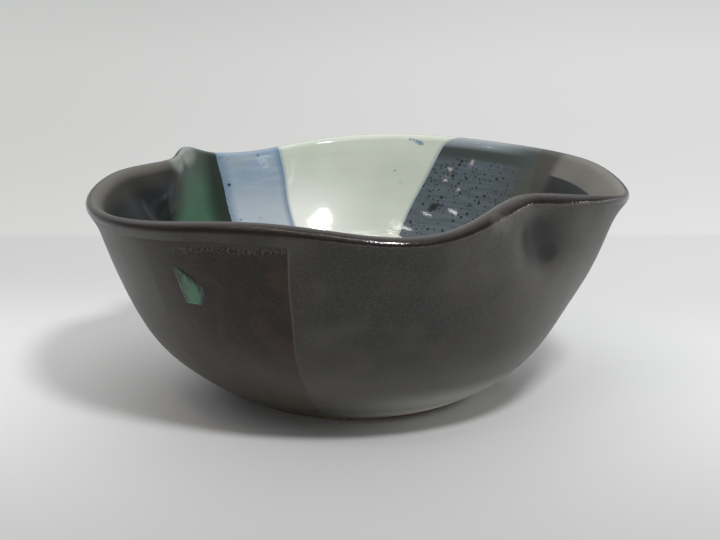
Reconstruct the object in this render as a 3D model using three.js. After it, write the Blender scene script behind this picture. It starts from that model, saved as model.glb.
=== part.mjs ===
// A hand-altered stoneware bowl. It is thrown round on the wheel, and then its soft upper wall is
// pinched inward at two places and drawn out into a lobe beside each of them. After the first
// firing, glazes are poured over it in turn: iron black outside, and fans of white, blue and green
// inside. Millimetres, +Z up. The origin is the centre of the foot, on the surface that it stands
// on. Bearings are in degrees, anticlockwise from +X seen from above.
import * as THREE from "three";
import { mergeVertices } from "three/addons/utils/BufferGeometryUtils.js";

// The thrown bowl, before it is altered
const FOOT_RADIUS = 35;
const FOOT_RING_WIDTH = 6.5;
const FOOT_RECESS = 1.2;
const FOOT_EDGE = 0.8;
const BELLY_SPREAD = 27.3;
const BELLY_SLOPE = 22.8;
const SHOULDER_RADIUS = 79;
const SHOULDER_HEIGHT = 53.5;
const SHOULDER_PULL = 30;
const WALL_LEAN = 24;
const RIM_HEIGHT = 65.5;
const LIP_RADIUS = 2.4;
const WALL_THICKNESS = 5;
const FLOOR_THICKNESS = 7;
const FLOOR_SPREAD = 45;
const INNER_PULL = 26;
const FLARE_DEPTH = 10;

// The coats of glaze. The seat is what keeps the splash clear of the pour under it, and the glaze
// line is how far up the belly the glaze begins, as a share of the belly's curve
const GLAZE_THICKNESS = 0.7;
const OVERLAP_THICKNESS = 0.35;
const SPLASH_THICKNESS = 0.3;
const SPLASH_SEAT = 0.04;
const GLAZE_LINE = 0.03;

// How far the rim stands off the centre of the foot, which was turned a little off the bowl's own
// centre, and how soon the wall gets there
const RIM_DRIFT = { x: -1.7, y: -0.4 };
const DRIFT_EASE = 3;

// How the soft wall is altered: push is outward at the rim, lift is upward, and flare is a bend of
// the lip alone
const ALTERED_FROM = 23;
const ALTERED_EASE = 1.7;
const LEAN_LIFT = 0.45;
const RIGHT_LOBE = { bearing: 0, spread: 14, push: 3, lift: -1.5, flare: 0 };
const RIGHT_BACK = { bearing: 33, spread: 26, push: 4.5, lift: 2.5, flare: 0 };
const RIGHT_LIP = { bearing: 6, spread: 26, push: -2.5, lift: -0.5, flare: 3 };
const LEFT_LOBE = { bearing: 189, spread: 32, push: -4, lift: -4.5, flare: 3 };
const FRONT_PINCH = { bearing: -45, spread: 23, push: -12.5, lift: 0.5, flare: 0 };
const FRONT_FLAT = { bearing: -108, spread: 26, push: -4.5, lift: 1.5, flare: 0 };
const FRONT_FALL = { bearing: -72, spread: 18, push: 0, lift: -1.5, flare: 0 };
const BACK_RISE = { bearing: 74, spread: 26, push: 0, lift: 2, flare: 0 };
const BACK_DIP = { bearing: 118, spread: 17, push: -5.5, lift: -4.5, flare: 0 };
const BACK_FOLD = { bearing: 135, spread: 4.5, push: 2.5, lift: 3.5, flare: 0 };
const BACK_PINCH = { bearing: 145, spread: 9, push: -5.5, lift: -2.5, flare: 0 };
const ALTERATIONS = [
  RIGHT_LOBE,
  RIGHT_BACK,
  RIGHT_LIP,
  LEFT_LOBE,
  FRONT_PINCH,
  FRONT_FLAT,
  FRONT_FALL,
  BACK_RISE,
  BACK_DIP,
  BACK_FOLD,
  BACK_PINCH,
];

// The marks of the thumb and the fingertip that pressed the two pinches
const FRONT_THUMB = { bearing: -42.3, height: 55.7, radius: 7, depth: 2.8 };
const FRONT_FINGER = { bearing: -38, height: 50.5, radius: 5.5, depth: 2.2 };
const BACK_THUMB = { bearing: 153, height: 56, radius: 7.5, depth: 3.5 };
const MARKS = [FRONT_THUMB, FRONT_FINGER, BACK_THUMB];

// Where the thrown wall lies a little inside its true round, or outside it where depth is negative
const RIGHT_SWELL = { bearing: -9, height: 43, radius: 12, depth: -1 };
const RIGHT_HOLLOW = { bearing: -14, height: 27, radius: 12, depth: 0.6 };
const LEFT_SWELL = { bearing: -165, height: 15, radius: 13, depth: -1 };
const DENTS = [...MARKS, RIGHT_SWELL, RIGHT_HOLLOW, LEFT_SWELL];

// Where the glazes meet inside: the bearing at the rim and at the floor
const IRON_TO_BLUE = { rim: 40, low: 30 };
const BLUE_TO_WHITE = { rim: 65, low: 84 };
const WHITE_TO_BLUE = { rim: 110, low: 106 };
const BLUE_TO_GREEN = { rim: 128, low: 127 };
const GREEN_TO_IRON = { rim: 140, low: 180 };

// The sides of the second iron pour outside: the bearing at the rim and at the foot
const POUR_START = { rim: -148, low: -150 };
const POUR_END = { rim: -103.5, low: -104.5 };

// The green splash on that pour: where its ends lie, as a bearing and a share of the way up the
// belly, how wide it is there, and how much of each end's rounding is cut off
const SPLASH_LOW = { bearing: -126.3, climb: 0.852, width: 7 };
const SPLASH_HIGH = { bearing: -130, climb: 0.984, width: 3.5 };
const SPLASH_TAPER = 0.1;

// How finely the surfaces are divided
const COLUMN_STEP = 6.5;
const FINE_COLUMN_STEP = 2.2;
const FINE_REACH = 15;
const BELLY_ROWS = 10;
const BELLY_ROW_EASE = 1.35;
const WALL_ROWS = 2;
const LIP_ROWS = 3;
const INNER_ROWS = 8;
const INNER_ROW_EASE = 1.4;
const SPLASH_ROWS = 7;
const SPLASH_COLUMNS = 4;

const { clamp, degToRad, euclideanModulo, lerp } = THREE.MathUtils;
const FLOOR_HEIGHT = FOOT_RECESS + FLOOR_THICKNESS;
const POUR_ROWS = BELLY_ROWS + 1;

// The angle from one bearing to another, from -180 to 180 degrees.
function turn(from, to) {
  return euclideanModulo(to - from + 180, 360) - 180;
}

function bell(distance, width) {
  return Math.exp(-((distance / width) ** 2));
}

// Along the thrown upper wall, and square to it, away from the clay.
const lean = degToRad(WALL_LEAN);
const up = new THREE.Vector2(Math.sin(lean), Math.cos(lean));
const out = new THREE.Vector2(Math.cos(lean), -Math.sin(lean));
const shoulder = new THREE.Vector2(SHOULDER_RADIUS, SHOULDER_HEIGHT);

// The full lower wall outside, from the foot to the shoulder.
function bellyCurve() {
  const slope = degToRad(BELLY_SLOPE);
  const foot = new THREE.Vector2(FOOT_RADIUS, FOOT_EDGE);
  return new THREE.CubicBezierCurve(
    foot,
    new THREE.Vector2(Math.cos(slope), Math.sin(slope)).multiplyScalar(BELLY_SPREAD).add(foot),
    shoulder.clone().addScaledVector(up, -SHOULDER_PULL),
    shoulder,
  );
}

// The thrown section, from the glaze line outside, over the lip, to the middle of the floor inside.
function thrownSection() {
  const belly = bellyCurve();
  const lipHeight = RIM_HEIGHT - LIP_RADIUS;
  const straight = (lipHeight + LIP_RADIUS * out.y - SHOULDER_HEIGHT) / up.y;
  const lipStart = shoulder.clone().addScaledVector(up, straight);
  const lipCentre = lipStart.clone().addScaledVector(out, -LIP_RADIUS);
  const lipEnd = lipCentre.clone().addScaledVector(out, -LIP_RADIUS);
  const innerShoulder = shoulder.clone().addScaledVector(out, -WALL_THICKNESS);
  const hollow = new THREE.CubicBezierCurve(
    innerShoulder,
    innerShoulder.clone().addScaledVector(up, -INNER_PULL),
    new THREE.Vector2(FLOOR_SPREAD, FLOOR_HEIGHT),
    new THREE.Vector2(0, FLOOR_HEIGHT),
  );

  const points = [];
  for (let i = 0; i < BELLY_ROWS; i++) {
    const eased = 1 - (1 - i / BELLY_ROWS) ** BELLY_ROW_EASE;
    points.push(belly.getPoint(lerp(GLAZE_LINE, 1, eased)));
  }
  for (let i = 0; i < WALL_ROWS; i++)
    points.push(shoulder.clone().lerp(lipStart, i / WALL_ROWS));
  const crest = points.length + LIP_ROWS;
  for (let i = 0; i < LIP_ROWS; i++)
    points.push(onLip(lipCentre, lerp(-lean, Math.PI / 2, i / LIP_ROWS)));
  for (let i = 0; i < LIP_ROWS; i++)
    points.push(onLip(lipCentre, lerp(Math.PI / 2, Math.PI - lean, i / LIP_ROWS)));
  for (let i = 0; i < WALL_ROWS; i++)
    points.push(lipEnd.clone().lerp(innerShoulder, i / WALL_ROWS));
  for (let i = 0; i <= INNER_ROWS; i++)
    points.push(hollow.getPoint((i / INNER_ROWS) ** INNER_ROW_EASE));
  return { points, crest };
}

function onLip(centre, angle) {
  return new THREE.Vector2(
    centre.x + LIP_RADIUS * Math.cos(angle),
    centre.y + LIP_RADIUS * Math.sin(angle),
  );
}

// The section moved out of the clay by a distance, or into it where the distance is negative.
function offset(points, distance) {
  return points.map((point, i) => {
    const before = points[Math.max(i - 1, 0)];
    const after = points[Math.min(i + 1, points.length - 1)];
    const along = after.clone().sub(before).normalize();
    const moved = new THREE.Vector2(point.x + along.y * distance, point.y - along.x * distance);
    if (point.x === 0) moved.set(0, point.y + distance);
    return moved;
  });
}

// A point of the thrown bowl, moved to where it lies once the soft wall has been altered.
function alter({ x: radius, y: height }, bearing) {
  const above = clamp((height - ALTERED_FROM) / (RIM_HEIGHT - ALTERED_FROM), 0, 1);
  const share = above ** ALTERED_EASE;
  const lipShare = clamp(1 - (RIM_HEIGHT - height) / FLARE_DEPTH, 0, 1) ** 2;
  let push = 0;
  let lift = 0;
  for (const change of ALTERATIONS) {
    const near = bell(turn(change.bearing, bearing), change.spread);
    push += (change.push * share + change.flare * lipShare) * near;
    lift += (change.lift - LEAN_LIFT * change.push) * share * near;
  }
  let pressed = 0;
  for (const dent of DENTS) {
    const across = degToRad(turn(dent.bearing, bearing)) * SHOULDER_RADIUS;
    pressed += dent.depth * bell(Math.hypot(across, height - dent.height), dent.radius);
  }
  const onWall = clamp(radius / FOOT_RADIUS, 0, 1);
  const newRadius = radius + push - pressed * onWall;
  const angle = degToRad(bearing);
  const drift = 1 - (1 - height / RIM_HEIGHT) ** DRIFT_EASE;
  return new THREE.Vector3(
    newRadius * Math.cos(angle) + RIM_DRIFT.x * drift,
    newRadius * Math.sin(angle) + RIM_DRIFT.y * drift,
    height + lift,
  );
}

// Bearings from one to just before another, closer together near the marks of the fingers.
function divide(from, to) {
  const bearings = [from];
  while (bearings.at(-1) < to) {
    const bearing = bearings.at(-1);
    const near = Math.max(...MARKS.map((mark) => bell(turn(mark.bearing, bearing), FINE_REACH)));
    bearings.push(bearing + lerp(COLUMN_STEP, FINE_COLUMN_STEP, near));
  }
  const reached = bearings.pop();
  return bearings.map((bearing) => from + ((bearing - from) * (to - from)) / (reached - from));
}

// A boundary's bearing is rim at the lip and low at the bottom of the bowl. This carries any other
// bearing along between the boundaries on each side of it.
function follow(boundaries, bearing, depth) {
  const count = boundaries.length;
  for (let i = 0; i < count; i++) {
    const one = boundaries[i];
    const two = boundaries[(i + 1) % count];
    const gap = euclideanModulo(two.rim - one.rim, 360);
    const along = euclideanModulo(bearing - one.rim, 360);
    if (along >= gap) continue;
    const start = lerp(one.rim, one.low, depth);
    const end = start + euclideanModulo(lerp(two.rim, two.low, depth) - start, 360);
    return lerp(start, end, along / gap);
  }
  throw new Error("no boundary lies beside bearing " + bearing);
}

const INSIDE = [IRON_TO_BLUE, BLUE_TO_WHITE, WHITE_TO_BLUE, BLUE_TO_GREEN, GREEN_TO_IRON];
const OUTSIDE = [POUR_START, POUR_END];
const meetings = [...INSIDE, ...OUTSIDE]
  .map((boundary) => euclideanModulo(boundary.rim, 360))
  .sort((a, b) => a - b);
const columns = meetings.flatMap((bearing, i) =>
  divide(bearing, meetings[i + 1] ?? meetings[0] + 360),
);
const { points: glazed, crest } = thrownSection();
const bare = offset(glazed, -GLAZE_THICKNESS);

// The grid of points that a section sweeps round the bowl: rows along it, and columns round it.
function sweep(section) {
  return section.map((point, i) => {
    const outside = i <= crest;
    const low = outside ? FOOT_EDGE : FLOOR_HEIGHT;
    const depth = clamp((RIM_HEIGHT - glazed[i].y) / (RIM_HEIGHT - low), 0, 1);
    const boundaries = outside ? OUTSIDE : INSIDE;
    return columns.map((bearing) =>
      alter(point, i === crest ? bearing : follow(boundaries, bearing, depth)),
    );
  });
}

function quad(a, b, c, d) {
  return [a, b, c, a, c, d];
}

// The faces between the rows and columns of a grid, which wraps round if it is whole.
function faces(grid, wraps) {
  const triangles = [];
  for (let i = 0; i + 1 < grid.length; i++) {
    const [row, next] = [grid[i], grid[i + 1]];
    for (let j = 0; j < row.length - (wraps ? 0 : 1); j++) {
      const k = (j + 1) % row.length;
      triangles.push(...quad(row[j], row[k], next[k], next[j]));
    }
  }
  return triangles;
}

function reversed(triangles) {
  return triangles.slice().reverse();
}

// A closed coat between two grids of the same rows and columns, the front one outermost.
function coat(front, back, wraps = false) {
  const last = front.length - 1;
  const triangles = [
    ...faces(front, wraps),
    ...reversed(faces(back, wraps)),
    ...faces([back[0], front[0]], wraps),
    ...reversed(faces([back[last], front[last]], wraps)),
  ];
  if (!wraps) {
    const side = (grid, j) => grid.map((row) => row.at(j));
    triangles.push(...reversed(faces([side(back, 0), side(front, 0)], false)));
    triangles.push(...faces([side(back, -1), side(front, -1)], false));
  }
  return triangles;
}

function geometryOf(triangles) {
  const kept = [];
  for (let i = 0; i < triangles.length; i += 3) {
    const [a, b, c] = triangles.slice(i, i + 3);
    if (!a.equals(b) && !b.equals(c) && !c.equals(a)) kept.push(a, b, c);
  }
  const geometry = mergeVertices(new THREE.BufferGeometry().setFromPoints(kept), 1e-4);
  geometry.computeVertexNormals();
  return geometry;
}

const bowl = new THREE.Group();

function piece(name, triangles, color, roughness) {
  const material = new THREE.MeshStandardMaterial({ color, roughness, metalness: 0 });
  const mesh = new THREE.Mesh(geometryOf(triangles), material);
  mesh.name = name;
  bowl.add(mesh);
}

// The part of a grid between two meetings of glazes and two rows.
function patch(grid, from, to, firstRow, lastRow) {
  const start = columns.indexOf(euclideanModulo(from.rim, 360));
  const end = columns.indexOf(euclideanModulo(to.rim, 360));
  const round = end > start ? end : end + columns.length;
  return grid.slice(firstRow, lastRow + 1).map((row) => [...row, ...row].slice(start, round + 1));
}

const glazedGrid = sweep(glazed);
const bareGrid = sweep(bare);

// The turned foot: a bare ring that the bowl stands on, round a shallow recess.
function footGrid() {
  const ring = FOOT_RADIUS - FOOT_RING_WIDTH;
  const section = [
    new THREE.Vector2(0, FOOT_RECESS),
    new THREE.Vector2(ring - FOOT_EDGE, FOOT_RECESS),
    new THREE.Vector2(ring, 0),
    new THREE.Vector2(FOOT_RADIUS - FOOT_EDGE, 0),
    new THREE.Vector2(FOOT_RADIUS, FOOT_EDGE),
  ];
  return section.map((point) => columns.map((bearing) => alter(point, follow(OUTSIDE, bearing, 1))));
}

piece("clay_body", faces([...footGrid(), ...bareGrid], true), 0x8a7460, 0.85);
piece(
  "outer_iron_glaze",
  coat(glazedGrid.slice(0, crest + 1), bareGrid.slice(0, crest + 1), true),
  0x3b3a37,
  0.35,
);

// A glaze poured inside, which covers a fan from the lip to the middle of the floor.
function liner(name, from, to, color, roughness) {
  const lastRow = glazed.length - 1;
  const front = patch(glazedGrid, from, to, crest, lastRow);
  const back = patch(bareGrid, from, to, crest, lastRow);
  piece(name, coat(front, back), color, roughness);
}

liner("liner_blue_right", IRON_TO_BLUE, BLUE_TO_WHITE, 0x66747e, 0.2);
liner("liner_white", BLUE_TO_WHITE, WHITE_TO_BLUE, 0xbfc6bb, 0.15);
liner("liner_blue_left", WHITE_TO_BLUE, BLUE_TO_GREEN, 0x99a6af, 0.2);
liner("liner_green", BLUE_TO_GREEN, GREEN_TO_IRON, 0x43594b, 0.25);
liner("liner_iron", GREEN_TO_IRON, IRON_TO_BLUE, 0x3d3d3b, 0.3);

// The second pour of iron outside, on top of the first.
const pourGrid = sweep(offset(glazed, OVERLAP_THICKNESS));
piece(
  "iron_overlap_panel",
  coat(
    patch(pourGrid, POUR_START, POUR_END, 0, POUR_ROWS),
    patch(glazedGrid, POUR_START, POUR_END, 0, POUR_ROWS),
  ),
  0x2f2c29,
  0.4,
);

// The green splash on it: a slanting dab with rounded ends.
function splash() {
  const belly = bellyCurve();
  const steps = Array.from({ length: SPLASH_ROWS + 1 }, (_, i) => i / SPLASH_ROWS);
  const section = steps.map((step) =>
    belly.getPoint(lerp(SPLASH_LOW.climb, SPLASH_HIGH.climb, step)),
  );
  const layer = (height) =>
    offset(section, height).map((point, i) => {
      const round = Math.sqrt(Math.sin(Math.PI * lerp(SPLASH_TAPER, 1 - SPLASH_TAPER, steps[i])));
      const width = lerp(SPLASH_LOW.width, SPLASH_HIGH.width, steps[i]) * round;
      const middle = lerp(SPLASH_LOW.bearing, SPLASH_HIGH.bearing, steps[i]);
      const row = [];
      for (let j = 0; j <= SPLASH_COLUMNS; j++) {
        const across = (j / SPLASH_COLUMNS - 0.5) * width;
        row.push(alter(point, middle + THREE.MathUtils.radToDeg(across / point.x)));
      }
      return row;
    });
  return coat(
    layer(OVERLAP_THICKNESS + SPLASH_THICKNESS),
    layer(OVERLAP_THICKNESS + SPLASH_SEAT),
  );
}

piece("green_splash", splash(), 0x42554a, 0.3);

export default bowl;
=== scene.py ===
"""The looks of a hand-altered stoneware bowl, built around its packed CAD frame.

The bowl is thrown, then its soft rim is pinched and drawn out, and then each glaze is poured over
it. The same steps make the pieces here: one section of the thrown wall, one function that alters
it, and a coat of glaze for each pour. Lengths are in metres and bearings in degrees, anticlockwise
from +X seen from above.
"""

import math
from functools import partial

import bpy
import numpy as np
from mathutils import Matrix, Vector


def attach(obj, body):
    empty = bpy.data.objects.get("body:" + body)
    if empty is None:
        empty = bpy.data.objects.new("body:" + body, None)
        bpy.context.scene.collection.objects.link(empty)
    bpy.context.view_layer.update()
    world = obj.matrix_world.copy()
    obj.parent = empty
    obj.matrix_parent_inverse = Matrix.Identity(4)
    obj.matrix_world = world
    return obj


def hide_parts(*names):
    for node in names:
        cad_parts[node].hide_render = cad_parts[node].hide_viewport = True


bl_info = {
    "name": "Altered stoneware bowl",
    "version": (1, 0, 0),
    "blender": (4, 5, 0),
    "location": "View3D > Sidebar > Bowl",
    "description": "Builds a pinched and drawn-out bowl with poured glazes around its CAD frame",
    "category": "Add Mesh",
}

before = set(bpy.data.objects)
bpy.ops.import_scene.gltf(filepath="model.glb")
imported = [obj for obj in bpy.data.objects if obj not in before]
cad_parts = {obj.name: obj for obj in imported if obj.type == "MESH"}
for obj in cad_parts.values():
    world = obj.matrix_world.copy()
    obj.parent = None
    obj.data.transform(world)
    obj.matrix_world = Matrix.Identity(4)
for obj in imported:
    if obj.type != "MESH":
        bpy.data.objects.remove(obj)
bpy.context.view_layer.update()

SENSOR_WIDTH = 36.0
FLOOR_TOP = 0.0


def mm(value):
    return value / 1000


def srgb(code):
    """The linear colour of an sRGB hex value such as #3b3a37. A linear colour stays as it is."""
    if not isinstance(code, str):
        return code
    shares = [int(code[i : i + 2], 16) / 255 for i in (1, 3, 5)]
    return tuple(
        s / 12.92 if s <= 0.04045 else ((s + 0.055) / 1.055) ** 2.4 for s in shares
    ) + (1.0,)


def length(name, description, millimetres):
    return bpy.props.FloatProperty(
        name=name, description=description, default=mm(millimetres), unit="LENGTH", precision=5
    )


def angle(name, description, degrees):
    return bpy.props.FloatProperty(
        name=name, description=description, default=math.radians(degrees), subtype="ANGLE"
    )


def number(name, description, value):
    return bpy.props.FloatProperty(name=name, description=description, default=value)


def colour(name, description, code):
    return bpy.props.FloatVectorProperty(
        name=name,
        description=description,
        default=srgb(code),
        size=4,
        subtype="COLOR",
        min=0.0,
        max=1.0,
    )


def numbers(name, description, values):
    return bpy.props.FloatVectorProperty(
        name=name, description=description, default=values, size=len(values)
    )


def alteration(name, values):
    parts = "Bearing and spread in degrees; push out, lift and flare of the lip in mm"
    return numbers(name, parts, values)


def dent(name, values):
    return numbers(name, "Bearing in degrees; height, radius and depth in mm", values)


def meeting(name, rim, low):
    return numbers(name, "Bearing in degrees at the lip and at the bottom", (rim, low))


class ThrownWall(bpy.types.PropertyGroup):
    """Sizes of the bowl as it came off the wheel"""

    foot_radius: length("Foot radius", "Outer radius of the turned foot ring", 35)
    foot_ring_width: length("Foot ring width", "Width of the ring that the bowl stands on", 6.5)
    foot_recess: length("Foot recess", "Depth of the recess inside the foot ring", 1.2)
    foot_edge: length("Foot edge", "Softened edge of the foot ring", 0.8)
    belly_spread: length("Belly spread", "Pull of the belly's curve away from the foot", 27.3)
    belly_slope: angle("Belly slope", "Slope of the belly where it leaves the foot", 22.8)
    shoulder_radius: length("Shoulder radius", "Outer radius where the wall runs straight", 79)
    shoulder_height: length("Shoulder height", "Height where the wall runs straight", 53.5)
    shoulder_pull: length("Shoulder pull", "Pull of the belly's curve below the shoulder", 30)
    wall_lean: angle("Wall lean", "Lean of the upper wall from upright", 24)
    rim_height: length("Rim height", "Height of the lip's crest before it is altered", 65.5)
    lip_radius: length("Lip radius", "Radius of the rounded lip", 2.4)
    wall_thickness: length("Wall thickness", "Thickness at the shoulder, glaze included", 5)
    floor_thickness: length("Floor thickness", "Thickness over the foot's recess", 7)
    floor_spread: length("Floor spread", "Pull of the hollow's curve along the floor", 45)
    inner_pull: length("Inner pull", "Pull of the hollow's curve below the shoulder", 26)
    flare_depth: length("Flare depth", "How far down the lip's flare reaches", 10)


class AlteredWall(bpy.types.PropertyGroup):
    """How the soft wall was pinched and drawn out"""

    rim_drift: bpy.props.FloatVectorProperty(
        name="Rim drift",
        description="How far the rim stands off the foot's centre",
        default=(mm(-1.7), mm(-0.4)),
        size=2,
        unit="LENGTH",
    )
    drift_ease: number("Drift ease", "How soon the wall drifts off the foot", 3)
    altered_from: length("Altered from", "Height below which the wall stays round", 23)
    altered_ease: number("Altered ease", "How softly the alteration sets in", 1.7)
    lean_lift: number("Lean lift", "Rise of the rim for each unit that it is pressed inward", 0.45)
    right_lobe: alteration("Right lobe", (0, 14, 3, -1.5, 0))
    right_back: alteration("Right back", (33, 26, 4.5, 2.5, 0))
    right_lip: alteration("Right lip", (6, 26, -2.5, -0.5, 3))
    left_lobe: alteration("Left lobe", (189, 32, -4, -4.5, 3))
    front_pinch: alteration("Front pinch", (-45, 23, -12.5, 0.5, 0))
    front_flat: alteration("Front flat", (-108, 26, -4.5, 1.5, 0))
    front_fall: alteration("Front fall", (-72, 18, 0, -1.5, 0))
    back_rise: alteration("Back rise", (74, 26, 0, 2, 0))
    back_dip: alteration("Back dip", (118, 17, -5.5, -4.5, 0))
    back_fold: alteration("Back fold", (135, 4.5, 2.5, 3.5, 0))
    back_pinch: alteration("Back pinch", (145, 9, -5.5, -2.5, 0))
    front_dent: dent("Front dent", (-42.3, 55.7, 7, 2.8))
    front_tip: dent("Front dent, fingertip", (-38, 50.5, 5.5, 2.2))
    back_dent: dent("Back dent", (153, 56, 7.5, 3.5))
    right_swell: dent("Right swell", (-9, 43, 12, -1))
    right_hollow: dent("Right hollow", (-14, 27, 12, 0.6))
    left_swell: dent("Left swell", (-165, 15, 13, -1))


class Coats(bpy.types.PropertyGroup):
    """Sizes of the glazes, and where they meet"""

    glaze_thickness: length("Glaze thickness", "Thickness of a fired coat", 0.7)
    overlap_thickness: length("Second pour", "Thickness of the second pour outside", 0.35)
    splash_thickness: length("Splash", "Thickness of the green splash", 0.3)
    splash_low: length("Splash, low end", "How far below the crest it ends", 26.2)
    splash_length: length("Splash length", "From its low end to its tip", 11.8)
    splash_width: length("Splash width", "Across its widest part", 8.8)
    splash_bearing: number("Splash bearing", "Bearing of its low end in degrees", -126.5)
    slate_curl: number("Slate curl", "Degrees its left edge turns aside at the lip", -3.3)
    throwing_ring: length("Throwing ring", "Distance from one throwing ring to the next", 6.5)
    ring_relief: length("Ring relief", "Height of the throwing rings under the glaze", 0.02)
    glaze_line: length("Glaze line", "Length of bare clay left above the foot", 1.6)
    iron_to_blue: meeting("Iron to slate blue", 40, 30)
    blue_to_white: meeting("Slate blue to white", 65, 84)
    white_to_blue: meeting("White to pale blue", 110, 106)
    blue_to_green: meeting("Pale blue to green", 128, 127)
    green_to_iron: meeting("Green to iron", 140, 180)
    pour_start: meeting("Second pour, left side", -148, -150)
    pour_end: meeting("Second pour, right side", -102.0, -103.3)
    pour_top: length("Second pour, top", "How far below the crest it starts", 6.5)
    pour_low: length("Second pour, low edge", "How far below the crest it ends", 75.5)


class Colours(bpy.types.PropertyGroup):
    """Colours of the clay, the glazes and the stage"""

    clay: colour("Stoneware", "Bare fired clay", "#7a6a5a")
    iron: colour("Iron glaze", "Gunmetal grey of the first pour", "#252320")
    iron_lip: colour("Iron at the lip", "Brown where the glaze runs thin", "#1a1411")
    iron_pour: colour("Second pour", "Brown-black of doubled iron glaze", "#17120c")
    white: colour("White", "White glaze with a breath of celadon", "#c7cec2")
    pale_blue: colour("Pale blue", "Thin blue over white", "#869cb1")
    green: colour("Green", "Copper green over iron", "#395b47")
    slate_blue: colour("Slate blue", "Blue over iron", "#576269")
    # Used inside as painted shade: blue-black where the wall steepens below the lips
    liner_iron: colour("Iron inside", "Blue-black where the iron pools", "#1c1e20")
    floor: colour("Floor", "Pale table", "#dbdcdc")
    backdrop: colour("Backdrop", "Pale wall beyond the table", "#d9dbd9")


class Stage(bpy.types.PropertyGroup):
    """Camera and lamps"""

    lens_mm: number("Lens", "Focal length on a 36 mm sensor, in mm", 90)
    camera_elevation: angle("Camera elevation", "Angle of the camera above the horizon", 14)
    camera_distance: length("Camera distance", "From the aim point to the camera", 563.5)
    aim: bpy.props.FloatVectorProperty(
        name="Aim",
        description="Point at the middle of the picture",
        default=(mm(1.13), 0, mm(37.8)),
        size=3,
        subtype="TRANSLATION",
    )
    table_edge: length("Table edge", "How far behind the bowl the table ends", 214)


SETTINGS = {
    "bowl_wall": ThrownWall,
    "bowl_altered": AlteredWall,
    "bowl_coats": Coats,
    "bowl_colours": Colours,
    "bowl_stage": Stage,
}


# The shape of the bowl


def turn(start, end):
    """The angle from one bearing to another, from -180 to 180 degrees."""
    return (end - start + 180) % 360 - 180


def bell(distance, width):
    return np.exp(-((distance / width) ** 2))


def bezier(corners, steps):
    a, b, c, d = (np.array(p) for p in corners)
    t = np.asarray(steps)[:, None]
    return a * (1 - t) ** 3 + 3 * b * t * (1 - t) ** 2 + 3 * c * t**2 * (1 - t) + d * t**3


# How many points each part of the section has
BELLY_POINTS, STRAIGHT_POINTS, LIP_POINTS, INNER_POINTS, HOLLOW_POINTS = 600, 40, 120, 60, 600


class Section:
    """The thrown wall in section: points, and normals out of the clay, by run from the lip's crest.

    The run is negative outside, towards the foot, and positive inside, towards the floor."""

    def __init__(self, wall):
        lean = wall.wall_lean
        up = np.array([math.sin(lean), math.cos(lean)])
        out = np.array([math.cos(lean), -math.sin(lean)])
        foot = np.array([wall.foot_radius, wall.foot_edge])
        shoulder = np.array([wall.shoulder_radius, wall.shoulder_height])
        along = np.array([math.cos(wall.belly_slope), math.sin(wall.belly_slope)])
        belly = (
            foot,
            foot + along * wall.belly_spread,
            shoulder - up * wall.shoulder_pull,
            shoulder,
        )
        lip_height = wall.rim_height - wall.lip_radius
        straight = (lip_height + wall.lip_radius * out[1] - shoulder[1]) / up[1]
        lip_start = shoulder + up * straight
        lip_centre = lip_start - out * wall.lip_radius
        lip_end = lip_centre - out * wall.lip_radius
        inner = shoulder - out * wall.wall_thickness
        floor = wall.foot_recess + wall.floor_thickness
        hollow = (
            inner,
            inner - up * wall.inner_pull,
            np.array([wall.floor_spread, floor]),
            np.array([0.0, floor]),
        )
        angles = np.linspace(-lean, math.pi - lean, LIP_POINTS)[:, None]
        lip = lip_centre + wall.lip_radius * np.hstack([np.cos(angles), np.sin(angles)])
        points = np.vstack(
            [
                bezier(belly, np.linspace(0, 1, BELLY_POINTS))[:-1],
                np.linspace(shoulder, lip_start, STRAIGHT_POINTS)[:-1],
                lip[:-1],
                np.linspace(lip_end, inner, INNER_POINTS)[:-1],
                bezier(hollow, np.linspace(0, 1, HOLLOW_POINTS)),
            ]
        )
        step = np.linalg.norm(np.diff(points, axis=0), axis=1)
        run = np.concatenate([[0], np.cumsum(step)])
        crest = np.argmax(points[:, 1])
        tangent = np.gradient(points, run, axis=0)
        tangent /= np.linalg.norm(tangent, axis=1)[:, None]
        self.run = run - run[crest]
        self.points = points
        self.normals = np.stack([tangent[:, 1], -tangent[:, 0]], axis=1)
        self.foot_run = self.run[0]
        self.floor_run = self.run[-1]
        self.floor = floor

    def at(self, run):
        """Radius, height and both parts of the normal at a run or an array of runs."""
        curves = (*self.points.T, *self.normals.T)
        return [np.interp(run, self.run, curve) for curve in curves]


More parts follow.
